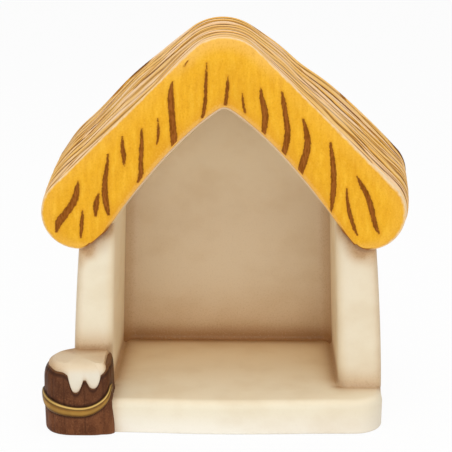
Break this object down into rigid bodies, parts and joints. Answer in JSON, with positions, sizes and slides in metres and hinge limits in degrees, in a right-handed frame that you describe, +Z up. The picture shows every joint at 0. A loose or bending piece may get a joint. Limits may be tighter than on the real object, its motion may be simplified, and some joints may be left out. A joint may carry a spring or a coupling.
{
  "type": "nativity stable",
  "caption": "Open-fronted ceramic stable under a thatched gable roof, on a floor slab with a snow-filled bucket at one front corner; shelters small nativity figures.",
  "frame": {"origin": "middle of the footprint's bounding box, on the surface that the stable stands on", "axes": "+X to the right as seen from the open front, +Y from the open front to the back wall, +Z up"},
  "size_m": [0.1996, 0.1174, 0.2036],
  "materials": {
    "cream_glaze": "satin cream glaze over earthenware, with soft brown airbrushing in the corners",
    "thatch_glaze": "straw-yellow underglaze on the verge with brown strokes, pale wiped straw on the slopes",
    "bucket_glaze": "dark red-brown wood graining, satin",
    "snow_glaze": "cream glaze, satin",
    "gold_lustre": "fired-on gold lustre over ceramic"
  },
  "bodies": {
    "root": {"base_slab": "cream_glaze", "left_wall": "cream_glaze", "right_wall": "cream_glaze", "back_wall": "cream_glaze", "ceiling_vault": "cream_glaze", "thatched_roof": "thatch_glaze", "bucket": "bucket_glaze", "bucket_handle": "gold_lustre", "snow_cap": "snow_glaze"}
  },
  "joints": []
}
